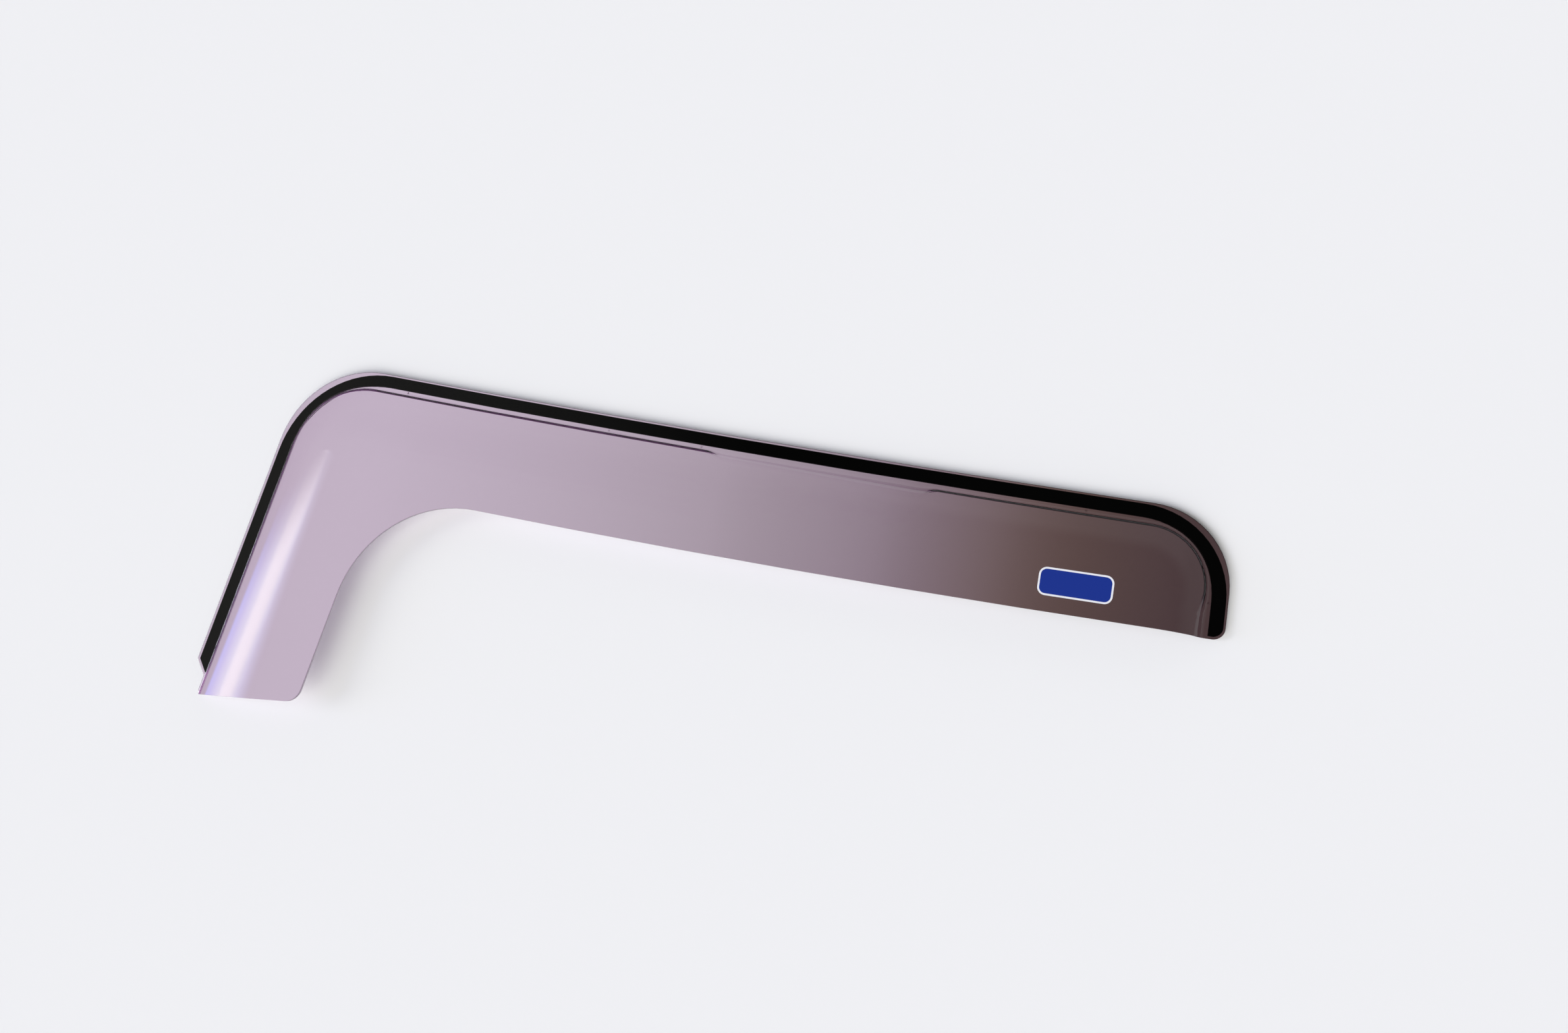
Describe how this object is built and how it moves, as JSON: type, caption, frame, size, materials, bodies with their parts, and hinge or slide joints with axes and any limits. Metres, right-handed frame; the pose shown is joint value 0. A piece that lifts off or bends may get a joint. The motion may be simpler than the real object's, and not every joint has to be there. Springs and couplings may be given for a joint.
{
  "type": "window rain deflector",
  "caption": "L-shaped visor of smoked acrylic with a stepped flange and foam tape, bonded round the top and front of a truck door's window to keep rain out while it is open.",
  "frame": {"origin": "on the tape's adhesive face, on the tape's centreline at the middle of the top run", "axes": "+X rearwards along the top run, +Y up the door, +Z out from the door, away from the bonding plane"},
  "size_m": [0.9814, 0.363, 0.0273],
  "materials": {
    "smoked_acrylic": "clear tinted acrylic sheet, polished",
    "black_foam": "matt closed-cell foam with an adhesive face"
  },
  "bodies": {
    "root": {"visor_shield": "smoked_acrylic", "foam_tape": "black_foam"}
  },
  "joints": []
}
